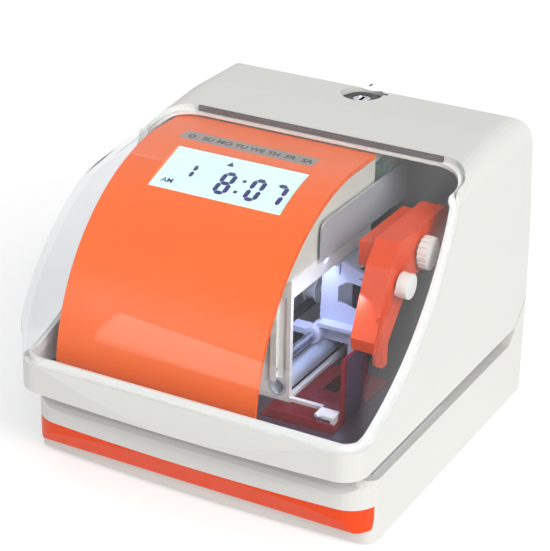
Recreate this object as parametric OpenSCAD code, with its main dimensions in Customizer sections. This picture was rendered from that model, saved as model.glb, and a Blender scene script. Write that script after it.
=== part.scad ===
// Date and time stamp machine: a lift-off hood with a clear curved window over a printer bay
// and a display module, on a low housing with a paper slot between the two.
// +X is the machine's right, +Y its rear, +Z up. The origin is at the centre of its footprint.

/* [Lower housing] */
// Width of the housing and of the hood's lower rim
body_w = 150; // [145:1:165]
// Depth of the lower housing, front corner to rear
base_depth = 146.6; // [140:0.2:152]
// Height of the lower housing's side walls
base_side_h = 27.1; // [25:0.1:30]
// Height of the rear riser
riser_h = 46.5; // [42:0.5:50]
// Thickness of the moulded walls
wall = 2.5; // [2:0.1:3]
// How far the front faces bow out over their width
front_bow = 2.9; // [1:0.1:4]
// How far the rounded lip stands ahead of the housing
lip_out = 6.2; // [4:0.1:8]
// Radius of the lip's rounded top
lip_r = 11; // [8:0.5:12]
// Radius of the lip's corners seen from above
lip_corner_r = 13; // [8:0.5:16]
// Height of the coloured trim band
trim_h = 10; // [7:0.5:11]
// Height of the housing below the trim band
trim_low = 6; // [4:0.5:8]
// Thickness of the trim band
trim_t = 2.4; // [1.6:0.1:3]
// Lean of the trim band towards its lower edge
trim_lean = 24; // [10:1:30]
// Height of the rubber feet below the housing
foot_out = 1.5; // [1:0.1:3]
// Diameter of the rubber feet
foot_d = 13; // [8:1:16]
// Thickness of the steel bottom plate
bottom_t = 1.5; // [1:0.1:2]

/* [Hood] */
// Height of the paper slot at the side
slot_h = 6.3; // [5.9:0.1:9]
// Height of the front band under the window
band_h = 12; // [9:0.5:14]
// Height of the hood, rim to top
hood_h = 89.1; // [86:0.1:94]
// Radius of the hood's curved front
front_r = 93.7; // [90:0.1:96]
// Distance from the rear face to the centre of the curved front
curve_back = 71.8; // [70:0.1:76]
// Height of that centre above the housing's lower edge
curve_up = 23.5; // [21:0.1:26]
// Slope of the hood's top behind the curve
top_slope = 6.5; // [3:0.5:8]
// Draft of the hood's sides
side_draft = 2; // [0:0.1:3]
// Draft of the hood's rear face
rear_draft = 1.7; // [0:0.1:3]
// Radius of the hood's long top edges
edge_r = 11; // [8:0.5:14]
// Radius of the hood's front corners seen from above
hood_corner_r = 10.5; // [8:0.5:14]
// Gap of the sloped seam behind the slot
seam_gap = 0.5; // [0.3:0.1:1]

/* [Window] */
// Thickness of the clear cover
cover_t = 2.2; // [1.8:0.1:2.4]
// Gap between the cover and the hood round it
cover_gap = 0.25; // [0.15:0.05:0.5]
// Radius of the window's curved rear edge at the side
side_edge_r = 124; // [110:1:140]
// How far behind the curve's centre the window's top edge lies
window_top_back = 18.5; // [12:0.5:19]
// Distance of the window's top corners from the hood's sides
window_inset = 3; // [2:0.5:8]
// Radius of the window's top corners
window_corner_r = 14; // [8:0.5:18]
// Width of the ledge that the cover is bonded to
seat_w = 2; // [1.2:0.1:3]
// Width of the dark gasket along the window's top edge
gasket_w = 1.2; // [0.8:0.1:2]

/* [Display] */
// How much smaller the display panel's curve is than the hood's
panel_set = 12.5; // [11.5:0.1:14]
// Gap between the display panel's top and the cover over it
panel_under = 0.9; // [0.7:0.1:1.4]
// Thickness of the display panel
panel_t = 2; // [1.6:0.1:2.4]
// Left edge of the display panel
panel_left = -63; // [-65:0.5:-58]
// Right edge of the display panel
panel_right = 26; // [24:0.5:30]
// Width of the display's window
lcd_w = 59.4; // [50:0.1:62]
// Height of the display's window along the panel
lcd_h = 25.8; // [20:0.1:27]
// Centre of the display's window across the machine
lcd_x = -17.4; // [-20:0.1:-15]
// Angle of the display's centre from the top of the curve
lcd_angle = 18.9; // [18:0.1:22]
// Height of the strip of weekdays along the panel
strip_h = 7.5; // [5:0.1:8]
// Angle of the strip's centre from the top of the curve
strip_angle = 3.3; // [1:0.1:3.8]
// Depth of the display's glass under the panel's face
glass_in = 1.5; // [1.3:0.1:2]
// Thickness of the glass of the display
glass_t = 1.6; // [1:0.1:2]
// Thickness of the display's backlight
light_t = 2.5; // [2:0.1:4]
// Travel of the setting buttons
button_travel = 0.8; // [0.4:0.1:1.2]
// Diameter of the setting buttons
button_d = 5; // [4:0.5:7]
// Distance between the setting buttons
button_pitch = 12; // [9:0.5:14]

/* [Printer] */
// Depth of the paper slot, hood front to its inner end
throat_d = 85; // [80:1:88]
// Thickness of the steel deck over the slot
deck_t = 1.2; // [1:0.1:1.6]
// Thickness of the dark floor of the printer bay
floor_t = 1.4; // [1:0.1:2]
// Thickness of the paper table's plate
table_t = 1.2; // [0.8:0.1:1.5]
// Thickness of the printer frame's walls
frame_t = 2; // [1.6:0.1:2.6]
// Left side of the printer frame
frame_left = -6; // [-8:0.5:-5]
// Right side of the printer frame
frame_right = 26.3; // [25:0.1:27]
// Front of the printer frame, behind the hood's front
frame_front_in = 41.7; // [39:0.1:43]
// Depth of the printer frame
frame_d = 67; // [64:0.5:70]
// Height of the printer frame above the bay's floor
frame_h = 51.8; // [50:0.1:54]
// Diameter of the steel shaft
shaft_d = 4; // [3:0.1:5]
// Distance of the shaft from the right side of the frame
shaft_in = 7.3; // [7:0.1:8.5]
// Height of the shaft above the bay's floor
shaft_up = 13; // [12.5:0.1:14]
// Diameter of the lower guide tube
tube_d = 8; // [6:0.1:8.6]
// Height of the guide tube above the bay's floor
tube_up = 5.5; // [5:0.1:5.6]
// Travel of the carriage towards the front
travel_front = 29; // [15:1:29]
// Number of teeth of the drive gear
gear_teeth = 36; // [30:1:40]
// Number of teeth of the motor's pinion
pinion_teeth = 12; // [12:1:14]
// Size of the gear teeth
gear_module = 0.6; // [0.5:0.05:0.65]
// Pitch radius of the belt pulleys
pulley_r = 5.5; // [5:0.1:6]
// Width of the belt
belt_w = 4; // [3:0.5:5]
// Thickness of the belt
belt_t = 1; // [0.8:0.1:1.4]
// Diameter of the motor
motor_d = 24; // [18:1:26]
// Diameter of the ribbon cassette's knob
knob_d = 13; // [11:0.5:14]

/* [Lock] */
// Diameter of the lock's dish in the hood
dish_d = 18; // [16:0.5:19]
// Depth of the lock's dish
dish_depth = 3; // [2:0.1:4]
// Distance of the lock from the rear face
lock_in = 12.5; // [12:0.1:16]
// Diameter of the lock's barrel
barrel_d = 11; // [9:0.5:12]
// Diameter of the lock's turning plug
plug_d = 7.5; // [6:0.1:8]
// Reach of the lock's cam
cam_reach = 15; // [14.5:0.1:17]

/* [Hidden] */
$fn = 64;
far = 300;
cut = 1;
fit = 0.02;
run = 0.05;
clear = 0.3;
arc_steps = 8;
bow_steps = 10;

// heights, from the ground up
base_z = foot_out;
side_top = base_z + base_side_h;
riser_top = base_z + riser_h;
table_z = side_top + table_t;
hood_z = side_top + slot_h;
band_z = hood_z + band_h;
top_z = hood_z + hood_h;
floor_z = hood_z + deck_t + floor_t;
curve_z = base_z + curve_up;

// places from front to rear
reach = sqrt(front_r * front_r - (hood_z - curve_z) * (hood_z - curve_z));
rear_y = (curve_back + reach) / 2;
hood_front = -rear_y;
curve_y = rear_y - curve_back;
base_front = rear_y - base_depth;
riser_foot = rear_y - (riser_top - side_top);
throat_end = hood_front + throat_d;
frame_front = hood_front + frame_front_in;
frame_rear = frame_front + frame_d;
frame_top = floor_z + frame_h;

// colours
white = [0.91, 0.91, 0.89];
grey = [0.62, 0.62, 0.62];
steel = [0.75, 0.76, 0.78];
dark = [0.16, 0.15, 0.18];
orange = [0.93, 0.36, 0.15];
clear_blue = [0.8, 0.85, 0.9, 0.35];
red = [0.55, 0.1, 0.12, 0.8];

// ---------------------------------------------------------------- helpers

function arc(c, r, a0, a1, n = arc_steps) =
    [for (i = [0:n]) let (a = a0 + (a1 - a0) * i / n) [c[0] + r * cos(a), c[1] + r * sin(a)]];

module slab(x, y, z) {
    translate([x[0], y[0], z[0]])
        cube([x[1] - x[0], y[1] - y[0], z[1] - z[0]]);
}

// an outline drawn in Y and Z, carried along X
module along_x(x) {
    translate([x[0], 0, 0])
        rotate([90, 0, 90])
            linear_extrude(x[1] - x[0])
                children();
}

// an outline drawn in X and Z, carried along Y
module along_y(y) {
    translate([0, y[1], 0])
        rotate([90, 0, 0])
            linear_extrude(y[1] - y[0])
                children();
}

module rod_x(x, y, z, d) {
    translate([x[0], y, z])
        rotate([0, 90, 0])
            cylinder(d = d, h = x[1] - x[0]);
}

module rod_y(x, y, z, d) {
    translate([x, y[1], z])
        rotate([90, 0, 0])
            cylinder(d = d, h = y[1] - y[0]);
}

module rod_z(x, y, z, d) {
    translate([x, y, z[0]])
        cylinder(d = d, h = z[1] - z[0]);
}

// a plan with a bowed front, round front corners and round rear corners
module plan(half, front, rear, bow, rf, rr) {
    in = half - rf;
    end_y = front + bow * in * in / (half * half);
    bowed = [for (i = [0:bow_steps]) let (x = -in + 2 * in * i / bow_steps)
        [x, front + bow * x * x / (half * half)]];
    polygon(concat(
        bowed,
        arc([in, end_y + rf], rf, -88, 0),
        arc([half - rr, rear - rr], rr, 0, 90),
        arc([-half + rr, rear - rr], rr, 90, 180),
        arc([-in, end_y + rf], rf, 180, 268)));
}

// ---------------------------------------------------------------- hood surfaces

// where the curved front gives way to the sloping top, t under the face
crest_angle = top_slope - 2;
crest_back = 3;
function crest(t) = [curve_y - (front_r - t) * sin(crest_angle), curve_z + (front_r - t) * cos(crest_angle)];
function ramp_end(t) = crest(t)[0] + (top_z - t - crest(t)[1]) / tan(top_slope);
function ramp_at(y, t) = crest(t)[1] + (y - crest(t)[0]) * tan(top_slope);
function rear_at(z, t) = rear_y - t - (z - riser_top) * tan(rear_draft);
function side_at(z, t) = body_w / 2 - t - (z - hood_z) * tan(side_draft);

rear_top_r = 5;
edge_out = 0.9;

// the hood seen from the side, t under its face
module hood_side(t, low) {
    r = rear_top_r - t;
    y = crest(t)[0] - crest_back;
    intersection() {
        translate([curve_y, curve_z])
            circle(r = front_r - t, $fn = 180);
        polygon([[-far, low], [curve_y, low], [curve_y, far], [-far, far]]);
    }
    polygon(concat(
        [[y, low], [rear_at(low, t), low]],
        arc([rear_at(top_z, t) - r, top_z - t - r], r, 0, 90),
        [[ramp_end(t), top_z - t], [y, crest(t)[1] - crest_back * tan(top_slope)]]));
}

// the hood seen from the front, t under its face
module hood_front_view(t, low) {
    r = edge_r - t;
    x = side_at(top_z, t);
    polygon(concat(
        [[-side_at(low, t), low], [side_at(low, t), low]],
        arc([x - r, top_z - t - r], r, side_draft, 90),
        arc([-x + r, top_z - t - r], r, 90, 180 - side_draft)));
}

// the same long edges seen along the sloping top
module ramp_view(t) {
    r = edge_r - t;
    x = side_at(top_z, t) - r + edge_out;
    end = 8;
    translate([0, crest(t)[0], crest(t)[1]])
        rotate([top_slope, 0, 0])
            along_y([-far, far])
                polygon(concat(
                    arc([x, -r], r, end, 90),
                    arc([-x, -r], r, 90, 180 - end),
                    [[-far, -far], [far, -far]]));
}

module hood_solid(t, low) {
    intersection() {
        along_x([-far, far])
            hood_side(t, low);
        along_y([-far, far])
            hood_front_view(t, low);
        ramp_view(t);
        linear_extrude(far)
            plan(body_w / 2 - t, hood_front + t, rear_y - t, front_bow, hood_corner_r - t,
                 rear_top_r - t);
    }
}

// the room under the sloped seam, up from the lower housing by a gap
module under_seam(gap) {
    up = gap * sqrt(2);
    along_x([-far, far])
        polygon([[riser_foot - far, side_top + up - far], [riser_foot + far, side_top + up + far],
                 [riser_foot + far, side_top + up - far]]);
}

// ---------------------------------------------------------------- window

side_end = [curve_y + 1.5, crest(0)[1] + 1.5];
side_low = [hood_front + 15, band_z];
side_mid = (side_end + side_low) / 2;
side_half = norm(side_end - side_low) / 2;
side_dir = (side_low - side_end) / (2 * side_half);
side_off = sqrt(side_edge_r * side_edge_r - side_half * side_half);
side_centre = side_mid + side_off * [side_dir[1], -side_dir[0]];
window_half = side_at(crest(0)[1], 0) - window_inset;
window_top = curve_y + window_top_back;

// the part of the hood that the clear cover takes, grown by g
module window_room(g) {
    along_x([-far, far])
        intersection() {
            translate(side_centre)
                circle(r = side_edge_r + g, $fn = 180);
            polygon([[-far, band_z - g], [side_end[0] + g, band_z - g],
                     [side_end[0] + g, far], [-far, far]]);
        }
    translate([0, 0, band_z + band_h])
        linear_extrude(far)
            plan(window_half + g, side_low[0], window_top + g, 0, window_corner_r,
                 window_corner_r);
}

ring = cover_t + cover_gap;
ring_low = ring + wall / 2;

module upper_case() {
    color(white)
        difference() {
            union() {
                difference() {
                    hood_solid(0, hood_z);
                    hood_solid(wall, hood_z - cut);
                    window_room(0);
                }
                intersection() {
                    difference() {
                        hood_solid(ring, band_z - wall);
                        hood_solid(ring_low, band_z - wall - cut);
                    }
                    difference() {
                        window_room(wall);
                        window_room(-seat_w);
                    }
                }
                hood_ledges();
                intersection() {
                    hood_solid(wall / 2, band_z);
                    rod_z(lock_x, lock_y, [top_z - dish_depth - wall, top_z], dish_d + 2 * wall);
                }
            }
            under_seam(seam_gap);
            rod_z(lock_x, lock_y, [top_z - dish_depth, top_z + cut], dish_d);
            rod_z(lock_x, lock_y, [barrel_low, top_z], barrel_d + 2 * run);
        }
}

ledge_reach = 3;
ledge_t = 2;

// the hood's own ledges, which rest on the bay's floor
module hood_ledges() {
    inner = side_at(floor_z, wall);
    for (s = [-1, 1]) {
        x = s < 0 ? [-inner - wall / 2, -inner + ledge_reach] : [inner - ledge_reach, inner + wall / 2];
        slab(x, [frame_front, frame_rear], [floor_z + run, floor_z + run + ledge_t]);
    }
}

module cover_shell(g) {
    intersection() {
        difference() {
            hood_solid(0, band_z - cut);
            hood_solid(cover_t, band_z - 2 * cut);
        }
        window_room(-g);
    }
}

module clear_cover() {
    color(clear_blue)
        difference() {
            cover_shell(cover_gap);
            gasket_room(0);
        }
}

// the strip along the window's top edge
module gasket_room(g) {
    slab([-window_half + window_corner_r, window_half - window_corner_r],
         [window_top - cover_gap - gasket_w - g, window_top + cut], [band_z + band_h, top_z + cut]);
}

module cover_gasket() {
    color(dark)
        intersection() {
            cover_shell(cover_gap);
            gasket_room(-run);
        }
}

// ---------------------------------------------------------------- lock

lock_x = -1;
lock_y = rear_y - lock_in;
dish_z = top_z - dish_depth;
barrel_flange_t = 1;
barrel_low = dish_z - 11;
nut_t = 3;
nut_d = 16;
cam_t = 1.8;
cam_w = 6.5;
cam_z = barrel_low - clear - cam_t;
key_w = 1.4;
key_l = 5;

module lock_barrel() {
    color(steel)
        difference() {
            union() {
                rod_z(lock_x, lock_y, [dish_z, dish_z + barrel_flange_t], barrel_d + 3);
                rod_z(lock_x, lock_y, [barrel_low, dish_z + run], barrel_d);
            }
            rod_z(lock_x, lock_y, [barrel_low - cut, dish_z + 2 * cut], plug_d + 2 * run);
        }
}

module lock_plug() {
    color(grey)
        difference() {
            rod_z(lock_x, lock_y, [cam_z, dish_z + barrel_flange_t / 2], plug_d);
            translate([lock_x, lock_y, dish_z - 3])
                slab([-key_w / 2, key_w / 2], [-key_l / 2, key_l / 2], [0, 10]);
        }
}

module lock_cam() {
    color(steel)
        difference() {
            union() {
                rod_z(lock_x, lock_y, [cam_z, cam_z + cam_t], plug_d + 4);
                slab([lock_x - cam_reach, lock_x], [lock_y - cam_w / 2, lock_y + cam_w / 2],
                     [cam_z, cam_z + cam_t]);
            }
            rod_z(lock_x, lock_y, [cam_z - cut, cam_z + 2 * cut + cam_t], plug_d + 2 * fit);
        }
}

module lock_nut() {
    color(steel)
        difference() {
            translate([lock_x, lock_y, dish_z - wall - nut_t])
                cylinder(d = nut_d, h = nut_t, $fn = 6);
            rod_z(lock_x, lock_y, [dish_z - wall - nut_t - cut, dish_z], barrel_d + 2 * fit);
        }
}

// ---------------------------------------------------------------- lower housing

base_corner_r = 5;
trim_z = base_z + trim_low;
trim_top = trim_z + trim_h;
lip_front = base_front - front_bow - lip_out;
lip_back = base_front + 2 * lip_corner_r;

trim_gap = 0.1;

module base_box(t, low, high) {
    intersection() {
        along_x([-far, far])
            polygon([[-far, low], [rear_y - t, low], [rear_y - t, riser_top - high],
                     [riser_foot + high * tan(22.5), side_top - high], [-far, side_top - high]]);
        linear_extrude(far)
            plan(body_w / 2 - t, base_front - front_bow + t, rear_y - t, front_bow, base_corner_r - t,
                 base_corner_r - t);
    }
}

// the rounded lip in front of the paper table, t under its face
module lip_solid(t) {
    lean = (trim_top - trim_z) * tan(trim_lean);
    side_lean = lean / 4;
    r = lip_r - t;
    top = side_top - t;
    y = lip_front + t;
    x = body_w / 2 - t;
    intersection() {
        along_x([-far, far])
            polygon(concat(
                [[lip_back, trim_z], [y + lean, trim_z], [y, trim_top]],
                arc([y + r, top - r], r, 180, 90),
                [[lip_back, top]]));
        along_y([-far, far])
            polygon(concat(
                [[-x + side_lean, trim_z], [-x, trim_top]],
                arc([-x + r, top - r], r, 180, 90),
                arc([x - r, top - r], r, 90, 0),
                [[x, trim_top], [x - side_lean, trim_z]]));
        linear_extrude(far)
            plan(x, y, lip_back, front_bow, lip_corner_r - t, cut);
    }
}

module trim_heights(g) {
    slab([-far, far], [-far, far], [trim_z - g, trim_top + g]);
}

stop_t = 2;
stop_end = 6;
stop_travel = 30;
stop_pin_x = [-6, 50];
stop_slot_w = 3.4;
stop_slot_front = throat_end - stop_travel - 2 * stop_t;

module base_housing() {
    color(white)
        difference() {
            union() {
                base_box(0, base_z, 0);
                difference() {
                    lip_solid(0);
                    trim_heights(0);
                }
                lip_solid(trim_t + trim_gap);
            }
            base_box(wall, base_z - cut, wall);
            for (x = stop_pin_x)
                slab([x - stop_slot_w / 2, x + stop_slot_w / 2],
                     [stop_slot_front, throat_end + stop_slot_w], [side_top - 2 * wall, side_top + cut]);
            rod_y(inlet_x, [rear_y - 2 * wall, rear_y + cut], inlet_z, inlet_d + 2 * clear);
        }
    color(white)
        difference() {
            intersection() {
                base_box(wall / 2, base_z, wall / 2);
                for (p = screw_places)
                    rod_z(p[0], p[1], [base_z + bottom_t, far], 2.6 * screw_d);
            }
            for (p = screw_places)
                rod_z(p[0], p[1], [base_z, base_z + screw_l + cut], screw_d + 2 * fit);
        }
}

module base_trim() {
    color(orange)
        difference() {
            intersection() {
                lip_solid(0);
                trim_heights(-trim_gap);
            }
            lip_solid(trim_t);
            base_box(-trim_gap, base_z, 0);
        }
}

screw_d = 3;
screw_l = 8;
screw_in = 12;
screw_places = [for (x = [-1, 1], y = [base_front + screw_in, rear_y - screw_in])
    [x * (body_w / 2 - screw_in), y]];
foot_places = [for (x = [-1, 1], y = [base_front + 2.4 * screw_in, rear_y - 2.4 * screw_in])
    [x * (body_w / 2 - 1.4 * screw_in), y]];

module bottom_plate() {
    color(steel)
        difference() {
            translate([0, 0, base_z])
                linear_extrude(bottom_t)
                    plan(body_w / 2 - wall - clear, base_front - front_bow + wall + clear,
                         rear_y - wall - clear, front_bow, base_corner_r - wall, base_corner_r - wall);
            for (p = screw_places)
                rod_z(p[0], p[1], [base_z - cut, base_z + bottom_t + cut], screw_d + 2 * clear);
        }
}

module rubber_feet() {
    color(dark)
        for (p = foot_places)
            rod_z(p[0], p[1], [0, base_z], foot_d);
}

module bottom_screws() {
    color(steel)
        for (p = screw_places) {
            rod_z(p[0], p[1], [base_z, base_z + screw_l], screw_d);
            rod_z(p[0], p[1], [base_z - foot_out / 2, base_z], 1.9 * screw_d);
        }
}

// ---------------------------------------------------------------- power

board_t = 1.6;
board_green = [0.3, 0.6, 0.4];
inlet_x = 45;
inlet_z = base_z + 13;
inlet_d = 8;
inlet_bore = 5.5;
inlet_l = 13;
contact_d = 2;
power_z = base_z + 6;
power_x = [8, 56];
power_y = [rear_y - 55, rear_y - wall - clear];
spacer_d = 5;
spacer_in = 4;
capacitor_d = 12;
capacitor_h = 14;

module dc_inlet() {
    back = rear_y - inlet_l;
    color(dark)
        difference() {
            union() {
                rod_y(inlet_x, [back, rear_y], inlet_z, inlet_d);
                slab([inlet_x - inlet_d / 2, inlet_x + inlet_d / 2], [back, rear_y - wall - clear],
                     [power_z + board_t, inlet_z]);
            }
            rod_y(inlet_x, [back + wall, rear_y + cut], inlet_z, inlet_bore);
        }
    color(steel)
        rod_y(inlet_x, [back + wall - cut, rear_y - cut], inlet_z, contact_d);
}

module power_board() {
    color(board_green)
        slab(power_x, power_y, [power_z, power_z + board_t]);
    color(board_green)
        for (x = [power_x[0] + spacer_in, power_x[1] - spacer_in],
             y = [power_y[0] + spacer_in, power_y[1] - 3 * spacer_in])
            rod_z(x, y, [base_z + bottom_t, power_z + run], spacer_d);
    color(dark)
        rod_z((power_x[0] + power_x[1]) / 2 - capacitor_d, (power_y[0] + power_y[1]) / 2,
              [power_z + board_t, power_z + board_t + capacitor_h], capacitor_d);
}

// ---------------------------------------------------------------- paper slot

table_in = 3.5;
column_in = 16;
platen_w = 12;
deck_slot_w = 9;
mask_slot_w = 6;
head_d = 13;
carriage_y = frame_front + 36;
plate_y = [carriage_y + 2, carriage_y + 4];
head_y = plate_y[1] + head_d / 2 + 0.5;
print_x = frame_right + 9.7;
print_y = [head_y - travel_front - 3, frame_front + 33];
pin_d = 3;
pin_head_d = 6;
column_y = [throat_end + stop_slot_w + cut, riser_foot - cut];

module print_slot(w, z) {
    slab([print_x - w / 2, print_x + w / 2], print_y, z);
}

module paper_table() {
    half = body_w / 2 - table_in;
    color(grey)
        difference() {
            slab([-half, half], [base_front + lip_r - lip_out, throat_end], [side_top, table_z]);
            for (x = stop_pin_x)
                slab([x - stop_slot_w / 2, x + stop_slot_w / 2],
                     [stop_slot_front, throat_end + cut], [side_top - cut, table_z + cut]);
            print_slot(platen_w + 2 * clear, [side_top - cut, table_z + cut]);
        }
}

module platen_pad() {
    color(dark)
        print_slot(platen_w, [side_top, table_z]);
}

module paper_stop() {
    y = throat_end - clear - stop_t / 2;
    under = side_top - wall - clear;
    color(orange) {
        slab([stop_pin_x[0] - stop_end, stop_pin_x[1] + stop_end], [y - stop_t / 2, y + stop_t / 2],
             [table_z + clear, hood_z - clear]);
        for (x = stop_pin_x) {
            rod_z(x, y, [under - stop_t, table_z + clear + run], pin_d);
            rod_z(x, y, [under - stop_t, under], pin_head_d);
        }
    }
}

module support_column() {
    half = body_w / 2 - column_in;
    color(grey)
        difference() {
            slab([-half, half], column_y, [side_top, hood_z]);
            slab([-half + wall, half - wall], [column_y[0] + wall, column_y[1] - wall],
                 [side_top - cut, hood_z + cut]);
        }
}

deck_in = wall + 0.7;

module deck_outline() {
    intersection() {
        plan(body_w / 2 - deck_in, hood_front + deck_in, rear_y, front_bow, hood_corner_r - deck_in, cut);
        translate([-far, -far])
            square([2 * far, far + riser_foot + cut]);
    }
}

module deck_holes(z) {
    print_slot(deck_slot_w, z);
    slab([trigger_x - trigger_w, trigger_x + trigger_w], [trigger_y - trigger_room, trigger_y + trigger_room], z);
}

module deck_plate() {
    color(steel)
        difference() {
            translate([0, 0, hood_z])
                linear_extrude(deck_t)
                    deck_outline();
            deck_holes([hood_z - cut, hood_z + deck_t + cut]);
        }
}

module bay_floor() {
    color(dark)
        difference() {
            translate([0, 0, hood_z + deck_t])
                linear_extrude(floor_t)
                    deck_outline();
            deck_holes([hood_z, floor_z + cut]);
        }
}

// ---------------------------------------------------------------- trigger

trigger_x = -40;
trigger_y = throat_end - 4;
trigger_z = floor_z + 5;
trigger_w = 3;
trigger_room = 8;
trigger_boss = 6;
trigger_pin_d = 2;
ear_t = 2;
ear_x = trigger_w / 2 + clear;

module trigger_lever() {
    x = [trigger_x - trigger_w / 2, trigger_x + trigger_w / 2];
    color(white)
        difference() {
            union() {
                rod_x(x, trigger_y, trigger_z, trigger_boss);
                slab(x, [trigger_y - trigger_w / 2, trigger_y + trigger_w / 2], [table_z + clear, trigger_z]);
            }
            rod_x([x[0] - cut, x[1] + cut], trigger_y, trigger_z, trigger_pin_d + 2 * run);
        }
}

// the trigger's axle and the two ears that carry it
module trigger_pin() {
    color(steel) {
        rod_x([trigger_x - ear_x - ear_t, trigger_x + ear_x + ear_t], trigger_y, trigger_z, trigger_pin_d);
        for (x = [trigger_x - ear_x - ear_t, trigger_x + ear_x])
            difference() {
                slab([x, x + ear_t], [trigger_y - trigger_room - ear_t, trigger_y + trigger_room + ear_t],
                     [floor_z, trigger_z + ear_t]);
                slab([x - cut, x + ear_t - cut / 2], [trigger_y - trigger_room, trigger_y + trigger_room],
                     [floor_z - cut, floor_z + cut]);
            }
    }
}

// ---------------------------------------------------------------- printer

foot_l = 14;
rib_w = 2.6;
rib_out = 1.2;
rib_in = 5.4;
groove_w = 3.6;
groove_t = 0.8;
opening_low = 2;
opening_top = 8;
axle_d = 3;
gear_w = 3;
gear_off = 0.5;
motor_off = 3;
motor_l = 26;
motor_axle_d = 2;
motor_plate_t = 1.5;
motor_foot = 14;
pulley_in = 10;
belt_left = 9;
flange_w = 1;

shaft_x = frame_right - shaft_in;
shaft_z = floor_z + shaft_up;
tube_x = shaft_x + 2;
tube_z = floor_z + tube_up;
tube_wall = 1.2;
opening_z = [floor_z + opening_low, frame_top - opening_top];
belt_x = [frame_left + frame_t + belt_left, frame_left + frame_t + belt_left + belt_w];
belt_z = shaft_z + 8;
pulley_front_y = frame_front + pulley_in;
pulley_rear_y = frame_rear - pulley_in;
pulley_x = [belt_x[0] - flange_w, belt_x[1] + flange_w];
gear_r = gear_module * gear_teeth / 2;
pinion_r = gear_module * pinion_teeth / 2;
gear_x = [frame_left - gear_off - gear_w, frame_left - gear_off];
mesh_angle = 120;
motor_y = pulley_rear_y + (gear_r + pinion_r) * cos(mesh_angle);
motor_z = belt_z + (gear_r + pinion_r) * sin(mesh_angle);
motor_x = gear_x[0] - motor_off;

// a tray of four walls with a tall opening in its right wall and a foot along its front
module printer_frame() {
    inner_y = [frame_front + frame_t, frame_rear - frame_t];
    wall_x = [frame_left - cut, frame_left + frame_t + cut];
    rib_x = frame_right - rib_in;
    color(white)
        difference() {
            union() {
                slab([frame_left, frame_right], [frame_front, frame_rear], [floor_z, frame_top]);
                slab([frame_right - cut, frame_right + foot_l], [frame_front, inner_y[0]],
                     [floor_z, floor_z + frame_t]);
                slab([rib_x - rib_w, rib_x], [frame_front - rib_out, frame_front + cut],
                     [floor_z + opening_top, frame_top - opening_top]);
            }
            slab([frame_left + frame_t, frame_right - frame_t], inner_y, [floor_z - cut, frame_top + cut]);
            slab([frame_right - frame_t - cut, frame_right + cut], inner_y, opening_z);
            slab([rib_x, rib_x + groove_w], [frame_front - cut, frame_front + groove_t],
                 [floor_z + opening_top, frame_top - opening_top]);
            for (y = [[frame_front - cut, inner_y[0] + cut], [inner_y[1] - cut, frame_rear + cut]]) {
                rod_y(shaft_x, y, shaft_z, shaft_d + 2 * fit);
                rod_y(tube_x, y, tube_z, tube_d + 2 * fit);
            }
            rod_x(wall_x, pulley_front_y, belt_z, axle_d + 2 * fit);
            rod_x(wall_x, pulley_rear_y, belt_z, axle_d + 2 * run);
        }
}

module carriage_shaft() {
    color(steel)
        rod_y(shaft_x, [frame_front, frame_rear], shaft_z, shaft_d);
}

module guide_tube() {
    color(grey)
        difference() {
            rod_y(tube_x, [frame_front, frame_rear], tube_z, tube_d);
            rod_y(tube_x, [frame_front - cut, frame_rear + cut], tube_z, tube_d - 2 * tube_wall);
        }
}

eye_d = 2 * (norm([tube_x - shaft_x, tube_z - shaft_z]) - tube_d / 2 - clear);
eye_l = 9;
arm_l = 6;
eye_low = tube_z + tube_d / 2 + clear;
bracket_low = shaft_z + 4;
bracket_top = opening_z[1] - 1;
bracket_h = 28;
shelf_t = 1.6;
arm_t = 2.5;
leg_w = 5;
mask_t = 0.8;
leg_low = floor_z + mask_t + 3;
belt_low = belt_z - pulley_r - belt_t / 2;

// the bracket's flat plate, drawn from the shaft to its upper right corner
module bracket_outline() {
    left = frame_right + 2;
    right = print_x + 7.8;
    polygon([[shaft_x, eye_low], [print_x - leg_w + 1, eye_low], [print_x - leg_w + 1, leg_low],
             [print_x + 1, leg_low], [print_x + 1, bracket_low - 2], [right - 7, bracket_low],
             [right - 4, bracket_low + 12], [right, bracket_low + 14], [right - 2, bracket_low + 19],
             [right, bracket_low + 22], [right - 3, bracket_low + bracket_h - 4],
             [left, bracket_low + bracket_h], [left, bracket_top], [shaft_x + 1, bracket_top]]);
}

// the five-sided hole and the two slits through the plate
module bracket_holes() {
    translate([print_x, bracket_low]) {
        polygon([[-9, 17], [-5, 20], [3, 19], [4, 14], [-2, 8], [-9, 10]]);
        translate([-9, 22])
            square([0.9, 4]);
        translate([0, 22])
            square([3, 0.7]);
    }
}

module carriage() {
    half_l = eye_l / 2;
    color(white)
        difference() {
            union() {
                rod_y(shaft_x, [carriage_y - half_l, carriage_y + half_l], shaft_z, eye_d);
                along_y(plate_y)
                    difference() {
                        bracket_outline();
                        bracket_holes();
                    }
                slab([shaft_x + 2, print_x + 2], [carriage_y - arm_l / 2, plate_y[0] + cut],
                     [bracket_low, bracket_low + shelf_t]);
                slab([belt_x[0], shaft_x - shaft_d / 2], [carriage_y - arm_l / 2, carriage_y + arm_l / 2],
                     [belt_low - clear - arm_t, belt_low - clear]);
            }
            rod_y(shaft_x, [carriage_y - eye_l, carriage_y + eye_l], shaft_z, shaft_d + 2 * run);
        }
}

nose_d = 4;
head_z = [shaft_z - 3, bracket_low + 20];

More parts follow.
